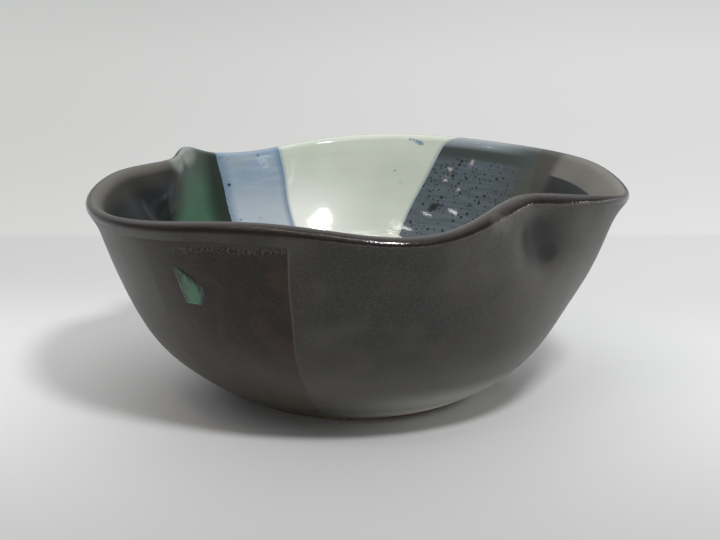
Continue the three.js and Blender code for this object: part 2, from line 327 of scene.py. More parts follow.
def alter(radius, height, bearing, wall, altered):
    """Where points of the thrown bowl lie once the soft wall has been altered."""
    reach = wall.rim_height - altered.altered_from
    share = np.clip((height - altered.altered_from) / reach, 0, 1) ** altered.altered_ease
    lip = np.clip(1 - (wall.rim_height - height) / wall.flare_depth, 0, 1) ** 2
    push = np.zeros(np.broadcast(radius, bearing).shape)
    lift = np.zeros_like(push)
    for change in (
        altered.right_lobe,
        altered.right_back,
        altered.right_lip,
        altered.left_lobe,
        altered.front_pinch,
        altered.front_flat,
        altered.front_fall,
        altered.back_rise,
        altered.back_dip,
        altered.back_fold,
        altered.back_pinch,
    ):
        centre, spread, out, rise, flare = change
        near = bell(turn(centre, bearing), spread)
        push += (mm(out) * share + mm(flare) * lip) * near
        lift += mm(rise - altered.lean_lift * out) * share * near
    on_wall = np.clip(radius / wall.foot_radius, 0, 1)
    for centre, level, size, depth in (
        altered.front_dent,
        altered.front_tip,
        altered.back_dent,
        altered.right_swell,
        altered.right_hollow,
        altered.left_swell,
    ):
        across = np.radians(turn(centre, bearing)) * wall.shoulder_radius
        push -= mm(depth) * on_wall * bell(np.hypot(across, height - mm(level)), mm(size))
    turned = np.radians(bearing)
    drift = 1 - (1 - height / wall.rim_height) ** altered.drift_ease
    return np.stack(
        [
            (radius + push) * np.cos(turned) + altered.rim_drift[0] * drift,
            (radius + push) * np.sin(turned) + altered.rim_drift[1] * drift,
            height + lift,
        ],
        axis=-1,
    )


INSIDE, OUTSIDE = 1, -1

# How much of the throwing rings shows through the glaze, which lies thicker inside
RINGS_INSIDE, RINGS_OUTSIDE = 0.2, 0.45
# How near the lip the rings fade out, and how soon down the wall they wander from a true spiral
RING_FADE = mm(9)
RING_WANDER = mm(17)
# The line where two pours meet wavers at two rates, and curls aside near the lip
SHORT_WAVE, LONG_WAVE = mm(5.3), mm(13)
CURL_REACH = mm(5)


class Bowl:
    """The bowl's sizes, its section, and points on any of its surfaces."""

    def __init__(self, scene):
        self.wall = scene.bowl_wall
        self.altered = scene.bowl_altered
        self.coats = scene.bowl_coats
        self.colours = scene.bowl_colours
        self.section = Section(self.wall)

    def surface(self, run, bearing, height):
        """Points at a run and bearing, as high above the glazed surface as height says."""
        radius, level, out, up = self.section.at(run)
        return alter(radius + out * height, level + up * height, bearing, self.wall, self.altered)

    def rings(self, run, bearing):
        """Low spiral ridges that the fingers left, showing through the glaze."""
        shown = np.where(run > 0, RINGS_INSIDE, RINGS_OUTSIDE)
        away = np.clip(np.abs(run) / RING_FADE - 1, 0, 1)
        turns = run / self.coats.throwing_ring + bearing / 360
        wander = 0.6 * np.sin(np.radians(bearing) * 2 + run / RING_WANDER)
        return self.coats.ring_relief * shown * away * np.sin(2 * math.pi * turns + wander)

    def meeting_bearing(self, meeting, run, side, waver, curl=0.0):
        """The bearing of the line where two glazes meet, at each run, turned aside at the lip."""
        low = self.section.floor if side == INSIDE else self.wall.foot_edge
        _, level, _, _ = self.section.at(run)
        depth = np.clip((self.wall.rim_height - level) / (self.wall.rim_height - low), 0, 1)
        wave = waver * np.sin(run / SHORT_WAVE) * np.sin(run / LONG_WAVE + meeting[0])
        turned = curl * np.clip(1 - np.abs(run) / CURL_REACH, 0, 1) ** 2
        return meeting[0] + (meeting[1] - meeting[0]) * depth + wave + turned


# How finely the surfaces are divided: mm from row to row and degrees from column to column, how
# much closer the rows lie over the lip, and how near to it
ROW_STEP, CLAY_ROW_STEP = mm(1.2), mm(2)
COLUMN_TURN, CLAY_COLUMN_TURN = 1.0, 1.5
CLOSER_AT_LIP = 0.72
LIP_REACH = mm(5)
POUR_COLUMNS = 80
SPLASH_ROWS, SPLASH_COLUMNS = 40, 24


def graded_runs(start, end, step):
    """Runs from start to end, a step apart, and closer over the lip, where the wall turns."""
    runs = [start]
    while runs[-1] < end:
        near = bell(runs[-1], LIP_REACH)
        runs.append(runs[-1] + step * (1 - CLOSER_AT_LIP * near))
    runs = np.array(runs)
    return start + (runs - start) * (end - start) / (runs[-1] - start)


# Meshes

# The name under which a coat keeps its place facts, and a length too small to matter
PLACE = "glaze_place"
TINY = 1e-12


def surface_normals(points, wraps):
    """The unit normal at each point of a grid, the same on both sides of a shared edge."""
    if wraps:
        points = np.concatenate([points[:, -2:], points, points[:, :2]], axis=1)
    across = np.gradient(points, axis=1, edge_order=2)
    down = np.gradient(points, axis=0, edge_order=2)
    normals = np.cross(across, down)
    if wraps:
        normals = normals[:, 2:-2]
    size = np.linalg.norm(normals, axis=-1, keepdims=True)
    flat = size[..., 0] < TINY
    normals = normals / np.maximum(size, TINY)
    normals[flat] = (0, 0, 1)
    return normals


def grid_faces(index, wraps):
    """Quads between the rows and columns of a grid of vertex numbers, as triangles at a pole."""
    right = np.roll(index, -1, axis=1)
    count = index.shape[1] if wraps else index.shape[1] - 1
    corners = [index[:-1], right[:-1], right[1:], index[1:]]
    quads = np.stack([c[:, :count] for c in corners], axis=-1).reshape(-1, 4)
    faces = []
    for quad in quads.tolist():
        corners = list(dict.fromkeys(quad))
        if len(corners) > 2:
            faces.append(corners)
    return faces


def numbered(grid, first, pole):
    """Vertex numbers for a grid, where the last row is one point if it is a pole."""
    rows, columns = grid.shape[:2]
    index = first + np.arange(rows * columns).reshape(rows, columns)
    if pole:
        index[-1] = index[-1, 0]
    return index


def flipped(faces):
    return [face[::-1] for face in faces]


def smooth_mesh(name, points, faces):
    mesh = bpy.data.meshes.new(name)
    mesh.from_pydata(points.tolist(), [], faces)
    mesh.polygons.foreach_set("use_smooth", [True] * len(mesh.polygons))
    return mesh


def coat_mesh(name, front, back, facts, wraps=False, pole=False):
    """A closed coat between two grids of points, with exact normals, and its place facts."""
    rows, columns = front.shape[:2]
    kept = rows * columns - (columns - 1 if pole else 0)
    points = [grid.reshape(-1, 3)[:kept] for grid in (front, back)]
    over = numbered(front, 0, pole)
    under = numbered(back, kept, pole)
    faces = grid_faces(over, wraps) + flipped(grid_faces(under, wraps))
    faces += grid_faces(np.stack([under[0], over[0]]), wraps)
    if not pole:
        faces += grid_faces(np.stack([over[-1], under[-1]]), wraps)
    if not wraps:
        for side, turned in ((0, True), (-1, False)):
            edge = grid_faces(np.stack([under[:, side], over[:, side]]), False)
            faces += flipped(edge) if turned else edge
    mesh = smooth_mesh(name, np.vstack(points), faces)
    outward = surface_normals(front, wraps).reshape(-1, 3)[:kept]
    inward = -surface_normals(back, wraps).reshape(-1, 3)[:kept]
    mesh.normals_split_custom_set_from_vertices(np.vstack([outward, inward]).tolist())
    place = mesh.attributes.new(PLACE, "FLOAT_VECTOR", "POINT")
    flat = facts.reshape(-1, 3)[:kept]
    place.data.foreach_set("vector", np.vstack([flat, flat]).ravel())
    return mesh


def add_piece(mesh, material, node):
    """Puts a mesh in the scene in place of a CAD node, with its material."""
    mesh.validate()
    piece = bpy.data.objects.new(mesh.name, mesh)
    bpy.context.scene.collection.objects.link(piece)
    mesh.materials.append(material)
    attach(piece, "root")
    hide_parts(node)


# The radius in mm at which bearings are turned into mm around the wall for the glaze patterns
PATTERN_RADIUS = 80


def place_facts(run, bearing, across):
    """For the glaze patterns: mm around the wall, mm down from the crest, share across the pour."""
    shape = np.broadcast(run, bearing).shape
    around = np.radians(np.broadcast_to(bearing, shape)) * PATTERN_RADIUS
    down = np.broadcast_to(np.abs(run) * 1000, shape)
    return np.stack([around, down, np.broadcast_to(across, shape)], axis=-1)


# Materials

SMOOTH = {"interpolation_type": "SMOOTHSTEP"}

# Colours that more than one glaze shows
# A painted highlight on the crest of the back fold
CREST_HIGHLIGHT = "#868d89"
COBALT_EDGE = "#5f7893"
IRON_SPECK = "#1d2624"

# Where a soft round spot starts and where it is full, in shares of its radius
SPOT_OUTER, SPOT_INNER = 1.3, 0.5

# Single marks on a glaze: bearing, mm down from the crest, radius in mm, and how strongly it shows
# Dark paint for shade in the finger dents under the front lip
FINGER_DENT_SHADE = ((319.8, 13.4, 8.5, 0.9), (318.4, 11.2, 4.6, 1.0), (324.1, 17.0, 3.2, 0.9))
# A lighter painted sheen where the lip twists at the front pinch
TWISTED_LIP_SHEEN = ((303.7, 3.8, 3.0, 0.25), (306.7, 5.3, 3.0, 0.2))
BLUE_TICKS = (
    (75.0, 2.6, 0.7, 0.6),
    (74.1, 2.8, 0.6, 0.6),
    (73.2, 3.3, 0.8, 0.7),
    (72.3, 3.8, 0.9, 0.8),
    (71.6, 4.1, 0.6, 0.6),
    (78.3, 13.4, 0.5, 0.5),
    (76.3, 17.4, 1.0, 0.15),
)
COBALT_SPECKS = (
    (126.0, 13.4, 0.65, 1.0),
    (125.0, 3.6, 0.4, 0.4),
    (116.2, 2.8, 0.55, 0.5),
    (124.8, 27.0, 0.45, 0.6),
    (118.5, 27.0, 0.4, 0.4),
)
# A painted highlight on the pale cap of the back fold's crest
PINCH_CAP_HIGHLIGHT = ((137.0, 1.8, 5.0, 0.8), (142.2, 2.1, 4.0, 0.7))
IRON_BLOTS = (
    (65.8, 25.0, 1.5, 1.0),
    (66.7, 26.2, 0.9, 0.8),
    (64.6, 24.2, 0.8, 0.8),
    (60.4, 8.7, 0.6, 1.0),
    (60.8, 9.9, 0.6, 1.0),
)


def add_node(tree, kind, inputs=None, output=0, **settings):
    """Adds a node with its settings and links, and gives back one of its outputs."""
    node = tree.nodes.new("ShaderNode" + kind)
    for name, value in settings.items():
        setattr(node, name, value)
    for name, value in (inputs or {}).items():
        if isinstance(value, bpy.types.NodeSocket):
            tree.links.new(value, node.inputs[name])
        else:
            node.inputs[name].default_value = value
    return node.outputs[output]


class Finish:
    """A surface under construction: facts about each place on it, and its colour so far."""

    def __init__(self, name, base, **shader):
        self.material = bpy.data.materials.new(name)
        self.material.use_nodes = True
        self.tree = self.material.node_tree
        self.shader = self.tree.nodes["Principled BSDF"]
        for socket, value in shader.items():
            self.shader.inputs[socket].default_value = value
        self.base = srgb(base)
        self.point = self.add("TexCoord", output="Object")
        self.x, self.y, _ = self.add("SeparateXYZ", {0: self.point}).node.outputs
        self.place = self.add("Attribute", output="Vector", attribute_name=PLACE)
        facts = self.add("SeparateXYZ", {0: self.place}).node.outputs
        self.around, self.down, self.across = facts

    def add(self, kind, inputs=None, output=0, **settings):
        return add_node(self.tree, kind, inputs, output, **settings)

    def lumps(self, size, detail=2):
        """What a noise takes for its lumps to be so many mm across."""
        return {"Vector": self.point, "Scale": 1 / mm(size), "Detail": detail}

    def lay(self, colour, *bands):
        """Lays a colour over the base, as far as all of the bands show it.

        A band is a fact about the place, the values of it where the colour starts to show and
        where it shows in full, and perhaps the least and the most that it shows."""
        shares = []
        for fact, start, full, *limits in bands:
            low, high = limits or (0.0, 1.0)
            band = {0: fact, 1: start, 2: full, 3: low, 4: high}
            shares.append(self.add("MapRange", band, **SMOOTH))
        share = shares[0]
        for other in shares[1:]:
            share = self.add("Math", {0: share, 1: other}, operation="MULTIPLY")
        colours = {0: share, 6: self.base, 7: srgb(colour)}
        self.base = self.add("Mix", colours, output=2, data_type="RGBA")

    def marks(self, bowl, side, colour, spots):
        """Lays soft round spots of a colour on one side of the wall."""
        for bearing, down, radius, share in spots:
            centre = bowl.surface(side * mm(down), bearing, 0.0).tolist()
            ends = {0: self.point, 1: centre}
            far = self.add("VectorMath", ends, output="Value", operation="DISTANCE")
            outer, inner = mm(radius * SPOT_OUTER), mm(radius * SPOT_INNER)
            self.lay(colour, (far, outer, inner, 0.0, share))

    def streaks(self, around, down, detail=2):
        """Noise drawn out over the glaze, in lumps so many mm around the bowl and down its wall."""
        scale = {0: self.place, 1: (1 / around, 1 / down, 0)}
        drawn_out = self.add("VectorMath", scale, operation="MULTIPLY")
        return self.add("TexNoise", {"Vector": drawn_out, "Scale": 1.0, "Detail": detail})

    def specks(self, spacing, radius, share):
        """Dots about so many mm apart, of which only that share is kept."""
        cells = self.add("TexVoronoi", {"Vector": self.point, "Scale": 1 / mm(spacing)})
        edge, full = radius / spacing, 0.55 * radius / spacing
        dot = self.add("MapRange", {0: cells, 1: edge, 2: full}, **SMOOTH)
        chance = self.add("SeparateColor", {0: cells.node.outputs["Color"]})
        kept = self.add("MapRange", {0: chance, 1: 1 - share, 2: 1.02 - share}, **SMOOTH)
        return self.add("Math", {0: dot, 1: kept}, operation="MULTIPLY")

    def finish(self, *bumps, roughness=None):
        """Links the colour, the roughness and the bumps, each a height and its depth in mm."""
        links = {"Base Color": self.base}
        if roughness is not None:
            links["Roughness"] = roughness
        for height, depth in bumps:
            inputs = {"Height": height, "Distance": mm(depth), "Strength": 1.0}
            if "Normal" in links:
                inputs["Normal"] = links["Normal"]
            links["Normal"] = self.add("Bump", inputs)
        for name, socket in links.items():
            self.tree.links.new(socket, self.shader.inputs[name])
        return self.material


def bare_stoneware(bowl):
    """Stoneware clay, turned on the wheel and fired bare: brown, dry and grainy."""
    made = Finish("bare_turned_stoneware", "#5e4f42", Roughness=0.85, IOR=1.5)
    grain = made.add("TexNoise", made.lumps(0.8, 3))
    made.lay(bowl.colours.clay, (grain, 0.35, 0.65))
    return made.finish((grain, 0.12))


def iron_glaze(bowl):
    """Iron-bearing glaze, poured and fired to satin gunmetal.

    It clouds where it lies thicker or thinner, breaks glossy brown over the lip, and is paler
    above the foot, most at the front right. Light is painted into it as well: a lighter lower
    wall and right side stand for the reflection of the lit table and room, dark paint for shade
    in the finger dents, and a lighter spot for a sheen where the lip twists."""
    colours = bowl.colours
    made = Finish("poured_iron_glaze_satin", colours.iron, IOR=1.52)
    cloud = made.add("TexNoise", made.lumps(22, 3))
    drift = made.add("TexNoise", made.lumps(24, 1))
    swell = made.add("TexNoise", made.lumps(3.5))
    ripple = made.add("TexNoise", made.lumps(1.8))
    # Real crystals are finer, by guess about 0.1 mm: drawn coarser here, or none would show
    speckle = made.add("TexNoise", made.lumps(0.5))
    grain = made.add("TexNoise", made.lumps(0.9))
    in_front = (made.y, mm(14), mm(-20))
    on_right = (made.x, mm(-15), mm(34))
    right_side_sheen = (made.x, mm(36), mm(58), 0.0, 0.3)
    made.lay("#3b3a35", (cloud, 0.35, 0.7))
    made.lay("#131210", (drift, 0.42, 0.6, 0.0, 0.75))
    # Painted reflection: the lower wall is lighter, standing for the lit table that it faces
    made.lay("#56544e", (made.down, 34, 68, 0.0, 0.7))
    # Painted sheen: lighter towards the right side at the front, where the wall reflects the lit
    # room
    made.lay("#6a6862", right_side_sheen, in_front, (made.down, 14, 30))
    made.lay("#4f4c47", (speckle, 0.5, 0.68, 0.0, 0.35))
    # Paler towards the foot, most at the front right
    made.lay("#55534c", (made.down, 70, 83))
    made.lay("#9d9d96", (made.down, 57, 70), on_right, in_front)
    made.lay("#eeeee4", (made.down, 72, 79), on_right, in_front)
    # Dark paint for shade in the finger dents
    made.marks(bowl, OUTSIDE, "#0b0a09", FINGER_DENT_SHADE)
    made.lay(colours.iron_lip, (made.down, 4.4, 3.2))
    # A lighter painted sheen where the lip twists
    made.marks(bowl, OUTSIDE, "#6b6963", TWISTED_LIP_SHEEN)
    roughness = made.add("MapRange", {0: made.down, 1: 3, 2: 5, 3: 0.14, 4: 0.42}, **SMOOTH)
    return made.finish((grain, 0.05), (swell, 0.06), (ripple, 0.05), roughness=roughness)


def iron_second_pour(bowl):
    """The same iron glaze, doubled: brown-black, and crawled into beads along its top edge."""
    made = Finish("doubled_iron_glaze", bowl.colours.iron_pour, IOR=1.42, Roughness=0.4)
    rust = made.add("TexNoise", made.lumps(7, 4))
    swell = made.add("TexNoise", made.lumps(3.5))
    # Drawn coarser than real crystals, as on the first pour
    speckle = made.add("TexNoise", made.lumps(0.5))
    grain = made.add("TexNoise", made.lumps(0.9))
    beads = made.streaks(0.8, 0.9)
    wander = made.streaks(6, 20)
    # Depth below the crest, bent so that the beaded top edge wanders and climbs to the right
    edge = made.add("Math", {0: wander, 1: 3.0, 2: made.down}, operation="MULTIPLY_ADD")
    edge = made.add("Math", {0: made.across, 1: 1.5, 2: edge}, operation="MULTIPLY_ADD")
    strip = (edge, 12.4, 11.2)
    stronger_right = (made.across, 0.2, 0.5, 0.3, 1.0)
    made.lay("#2c1c14", (rust, 0.45, 0.7))
    made.lay("#46413b", (speckle, 0.52, 0.7, 0.0, 0.35))
    made.lay("#2f2d27", (made.across, 0.6, 0.05))
    # Painted reflection: lighter low down, standing for the lit table that it faces
    made.lay("#48453b", (made.down, 30, 66, 0.0, 0.8))
    made.lay("#100d0c", strip, stronger_right)
    made.lay("#3d3a36", strip, stronger_right, (beads, 0.42, 0.6))
    made.lay("#302e2b", (edge, 10.6, 9.6))
    made.lay("#45433e", (made.across, 0.988, 0.996))
    return made.finish((grain, 0.05), (swell, 0.06))


def green_splash_glaze(bowl):
    """Copper green flicked on with a brush: streaks, thin at the top and full at the low end."""
    made = Finish("flicked_copper_green", bowl.colours.iron_pour, IOR=1.5, Roughness=0.3)
    streak = made.streaks(0.55, 3.2, detail=3)
    # The green covers most low down and along the middle, and breaks up where a streak is thin
    low_end = made.add("MapRange", {0: made.down, 1: 13.5, 2: 23, 3: 0.32, 4: 0.74}, **SMOOTH)
    middle = made.add("Math", {0: made.across, 1: 0.5}, operation="PINGPONG")
    middle = made.add("Math", {0: middle, 1: 1.6, 2: 0.3}, operation="MULTIPLY_ADD")
    cover = made.add("Math", {0: low_end, 1: middle, 2: streak}, operation="MULTIPLY_ADD")
    made.lay("#2c4a3a", (cover, 0.72, 0.92))
    made.lay("#3f6c51", (cover, 0.86, 1.1))
    return made.finish((streak, 0.08))


def white_glaze(bowl):
    """White glaze over white slip, fired glossy, with a breath of celadon where it pools."""
    made = Finish("poured_white_glaze_gloss", bowl.colours.white, IOR=1.52, Roughness=0.09)
    cloud = made.add("TexNoise", made.lumps(30))
    swell = made.add("TexNoise", made.lumps(6))
    line = made.streaks(40, 1.6)
    made.lay("#bfc8b9", (cloud, 0.35, 0.65))
    made.lay("#b3bdae", (line, 0.5, 0.75, 0.0, 0.35))
    # Painted light: the white is lighter low down, where the window's broad glow lies
    made.lay("#f2f6ee", (made.down, 6, 28), (made.across, 0.2, 0.95, 0.15, 0.85))
    made.lay("#7f97ad", (made.across, 0.97, 1.0, 0.0, 0.6))
    made.lay("#6c8190", (made.across, 0.035, 0.0, 0.0, 0.6))
    made.marks(bowl, INSIDE, "#5c7a92", BLUE_TICKS)
    return made.finish((swell, 0.05), (line, 0.02))


def pale_blue_glaze(bowl):
    """Thin cobalt blue over white, poured and fired glossy, darker along its edges."""
    made = Finish("poured_pale_blue_gloss", bowl.colours.pale_blue, IOR=1.52, Roughness=0.1)
    cloud = made.add("TexNoise", made.lumps(9, 3))
    swell = made.add("TexNoise", made.lumps(6))
    line = made.streaks(16, 2.4, detail=3)
    made.lay("#92a1ac", (cloud, 0.35, 0.7))
    made.lay("#b0bec9", (line, 0.45, 0.75, 0.0, 0.4))
    made.lay("#bcc6cd", (made.down, 8, 26, 0.0, 0.7))
    made.lay(COBALT_EDGE, (made.across, 0.12, 0.0, 0.0, 0.65))
    made.lay(COBALT_EDGE, (made.across, 0.8, 1.0, 0.0, 0.65))
    made.lay(COBALT_EDGE, (made.down, 3.5, 0.5, 0.0, 0.4))
    spilt = (made.specks(0.7, 0.3, 0.5), 0.0, 1.0)
    made.lay("#33453f", spilt, (made.across, 0.82, 1.0, 0.0, 0.8))
    made.marks(bowl, INSIDE, "#2b3948", COBALT_SPECKS)
    return made.finish((swell, 0.05))


def green_glaze(bowl):
    """Copper green over iron, poured and fired: grey-green at the crest, brightest low down."""
    made = Finish("poured_copper_green", "#434e47", IOR=1.5, Roughness=0.25)
    cloud = made.add("TexNoise", made.lumps(10, 3))
    swell = made.add("TexNoise", made.lumps(5))
    low_down = (made.down, 4, 26)
    made.lay(bowl.colours.green, low_down)
    made.lay("#3a6c50", (cloud, 0.4, 0.7, 0.2, 0.9), low_down)
    made.lay("#1f2e24", (made.across, 0.34, 0.1))
    made.lay("#17191a", (made.across, 0.6, 1.0))
    # A painted highlight on the pale cap of the back fold's crest
    made.marks(bowl, INSIDE, CREST_HIGHLIGHT, PINCH_CAP_HIGHLIGHT)
    return made.finish((swell, 0.05))


def slate_blue_glaze(bowl):
    """Cobalt blue over iron, poured, with the iron breaking through as dark specks and lines."""
    made = Finish("poured_slate_blue_gloss", "#4b555a", IOR=1.52, Roughness=0.05)
    swell = made.add("TexNoise", made.lumps(6))
    line = made.streaks(14, 1.5, detail=3)
    made.lay(bowl.colours.slate_blue, (line, 0.35, 0.65))
    # The finest real specks, by guess 0.2 mm, would not show: these are up to 0.8 or 1.5 mm across
    made.lay(IRON_SPECK, (made.specks(1.3, 0.42, 0.8), 0.0, 1.0))
    made.lay(IRON_SPECK, (made.specks(2.1, 0.75, 0.35), 0.0, 1.0))
    made.lay("#45463f", (made.across, 0.45, 0.0))
    made.lay("#39423f", (made.down, 9.5, 6.5))
    made.lay("#858f95", (made.down, 5, 2.8), (made.across, 0.0, 0.6))
    made.marks(bowl, INSIDE, "#141c18", IRON_BLOTS)
    return made.finish((swell, 0.012), (line, 0.002))


def liner_iron_glaze(bowl):
    """Iron glaze inside: grey and satin on the flared lips, and blue-black painted shade where the
    wall steepens below them.
    """
    made = Finish("poured_iron_liner_satin", "#686660", IOR=1.36)
    cloud = made.add("TexNoise", made.lumps(18, 3))
    grain = made.add("TexNoise", made.lumps(0.9))
    # The top edge of the painted shade below the lips: mm down from the crest, and how many mm it
    # takes to fade. Both change with the mm around the wall: to 330 is the left lobe, 400 to 480
    # the front, then the right
    top = made.add("MapRange", {0: made.around, 1: 202, 2: 230, 3: 5.2, 4: 8.8}, **SMOOTH)
    rise = made.add("MapRange", {0: made.around, 1: 400, 2: 480, 3: 0.0, 4: 0.6}, **SMOOTH)
    fade = made.add("MapRange", {0: made.around, 1: 400, 2: 480, 3: 2.4, 4: 0.5}, **SMOOTH)
    below = made.add("Math", {0: made.down, 1: top}, operation="SUBTRACT")
    below = made.add("Math", {0: below, 1: rise}, operation="ADD")
    below = made.add("Math", {0: below, 1: fade}, operation="DIVIDE")
    clouded = (cloud, 0.35, 0.65)
    on_left = (made.around, 400, 330)
    painted_shade_below = (below, 0.0, 1.0)
    made.lay("#72706a", clouded)
    made.lay("#56544e", on_left)
    # Painted shade on the left lobe, where its wall steepens below the flared lip
    made.lay("#242321", on_left, (made.down, 2.5, 5))
    made.lay(bowl.colours.liner_iron, painted_shade_below)
    made.lay("#222426", painted_shade_below, clouded)
    made.lay("#454440", (made.around, 546, 551))
    # A painted highlight on the pale cap of the back fold's crest
    made.marks(bowl, INSIDE, CREST_HIGHLIGHT, PINCH_CAP_HIGHLIGHT)
    roughness = made.add("MapRange", {0: made.down, 1: 3, 2: 9, 3: 0.4, 4: 0.28}, **SMOOTH)
    return made.finish((grain, 0.04), roughness=roughness)


# Operators


class BOWL_OT_clay_body(bpy.types.Operator):
    """Make the clay: wall, floor and turned foot"""

    bl_idname = "bowl.clay_body"
    bl_label = "Clay body"

    def execute(self, context):
        bowl = Bowl(context.scene)
        wall = bowl.wall
        section = bowl.section
        ring = wall.foot_radius - wall.foot_ring_width
        foot = np.array(
            [
                (0.0, wall.foot_recess),
                (ring - wall.foot_edge, wall.foot_recess),
                (ring - 0.4 * wall.foot_edge, 0.35 * wall.foot_recess),
                (ring, 0.0),
                (wall.foot_radius - wall.foot_edge, 0.0),
                (wall.foot_radius - 0.3 * wall.foot_edge, 0.3 * wall.foot_edge),
                (wall.foot_radius, wall.foot_edge),
            ]
        )
        start = section.foot_run + bowl.coats.glaze_line
        runs = graded_runs(start, section.floor_run, CLAY_ROW_STEP)
        radius, level, out, up = section.at(runs)
        depth = -bowl.coats.glaze_thickness
        bare = np.stack([radius + out * depth, level + up * depth], axis=1)
        bare[-1, 0] = 0.0
        profile = np.vstack([foot, bare])
        bearing = np.arange(0, 360, CLAY_COLUMN_TURN)
        points = alter(profile[:, :1], profile[:, 1:], bearing[None, :], wall, bowl.altered)
        rows, columns = points.shape[:2]
        index = np.arange(rows * columns).reshape(rows, columns)
        index[0] = index[0, 0]
        index[-1] = index[-1, 0]
        used, packed = np.unique(index, return_inverse=True)
        faces = grid_faces(packed.reshape(index.shape), True)
        mesh = smooth_mesh("clay", points.reshape(-1, 3)[used], faces)
        add_piece(mesh, bare_stoneware(bowl), "clay_body")
        return {"FINISHED"}


class BOWL_OT_outer_glaze(bpy.types.Operator):
    """Pour the iron glaze over the outside, up to the crest of the lip"""

    bl_idname = "bowl.outer_glaze"
    bl_label = "Outer iron glaze"

    def execute(self, context):
        bowl = Bowl(context.scene)
        coats = bowl.coats
        bearing = np.arange(0, 360, COLUMN_TURN)[None, :]
        start = bowl.section.foot_run + coats.glaze_line
        runs = graded_runs(start, 0.0, ROW_STEP)[:, None]
        runs = np.broadcast_to(runs, (len(runs), bearing.shape[1]))
        front = bowl.surface(runs, bearing, bowl.rings(runs, bearing))
        back = bowl.surface(runs, bearing, -coats.glaze_thickness)
        facts = place_facts(runs, bearing, 0.5)
        mesh = coat_mesh("iron_glaze_outside", front, back, facts, wraps=True)
        add_piece(mesh, iron_glaze(bowl), "outer_iron_glaze")
        return {"FINISHED"}


# A later coat is never thinner than this, and its back lies this far within the coat under it
FADED_COAT = mm(0.01)
COAT_SINK = mm(0.05)
# How many mm the second pour's top and low edges take to reach its full thickness
POUR_TOP_FADE, POUR_LOW_FADE = mm(2), mm(1)
# The splash's front stands at least this far out from the pour
SPLASH_SEAT = mm(0.03)
# Degrees that the stroke of the splash turns as it rises, and what then bends it back
SPLASH_TURN, SPLASH_BEND = 4.9, 7.6


class BOWL_OT_second_pour(bpy.types.Operator):
    """Pour more iron glaze over the front left, on top of the first"""

    bl_idname = "bowl.second_pour"
    bl_label = "Second iron pour"

    def execute(self, context):
        bowl = Bowl(context.scene)
        coats = bowl.coats
        runs = graded_runs(-coats.pour_low, -coats.pour_top, ROW_STEP)[:, None]
        left = bowl.meeting_bearing(coats.pour_start, runs, OUTSIDE, 0.15)
        right = bowl.meeting_bearing(coats.pour_end, runs, OUTSIDE, 0.25)
        across = np.linspace(0, 1, POUR_COLUMNS)[None, :]
        bearing = left + (right - left) * across
        runs = np.broadcast_to(runs, bearing.shape)
        # Full at once on the right, and thin over a quarter of its width on the left
        right_edge = np.minimum((1 - across) * 40, 1)
        left_edge = np.clip(across * 4, 0, 1) ** 4
        top_edge = np.clip((-runs - coats.pour_top) / POUR_TOP_FADE, 0, 1)
        low_edge = np.clip((runs + coats.pour_low) / POUR_LOW_FADE, 0, 1)
        edge = right_edge * top_edge * low_edge * left_edge
        thickness = FADED_COAT + (coats.overlap_thickness - FADED_COAT) * np.sqrt(edge)
        rings = bowl.rings(runs, bearing)
        front = bowl.surface(runs, bearing, rings + thickness)
        back = bowl.surface(runs, bearing, rings - COAT_SINK)
        facts = place_facts(runs, bearing, across)
        mesh = coat_mesh("iron_glaze_second_pour", front, back, facts)
        add_piece(mesh, iron_second_pour(bowl), "iron_overlap_panel")
        return {"FINISHED"}


class BOWL_OT_green_splash(bpy.types.Operator):
    """Flick the green splash onto the second pour"""

    bl_idname = "bowl.green_splash"
    bl_label = "Green splash"

    def execute(self, context):
        bowl = Bowl(context.scene)
        coats = bowl.coats
        along = np.linspace(0, 1, SPLASH_ROWS)[:, None]
        across = np.linspace(-0.5, 0.5, SPLASH_COLUMNS)[None, :]
        runs = -coats.splash_low + coats.splash_length * along
        runs = np.broadcast_to(runs, (SPLASH_ROWS, SPLASH_COLUMNS))
        # The stroke bends left as it rises. It is widest below its middle and ends in a thin tip
        middle = coats.splash_bearing + SPLASH_TURN * along - SPLASH_BEND * along**2
        width = coats.splash_width * np.sin(math.pi * (0.2 + 0.78 * along)) ** 0.8
        radius, _, _, _ = bowl.section.at(runs)
        bearing = middle + np.degrees(across * width / radius)
        dome = np.sqrt(np.clip(1 - (2 * np.abs(across)) ** 4, 0, 1) * np.sin(math.pi * along))
        pour = bowl.rings(runs, bearing) + coats.overlap_thickness
        height = pour + SPLASH_SEAT + coats.splash_thickness * dome
        front = bowl.surface(runs, bearing, height)
        back = bowl.surface(runs, bearing, pour - COAT_SINK)
        facts = place_facts(runs, bearing, across + 0.5)
        mesh = coat_mesh("green_splash_glaze", front, back, facts)
        add_piece(mesh, green_splash_glaze(bowl), "green_splash")
        return {"FINISHED"}


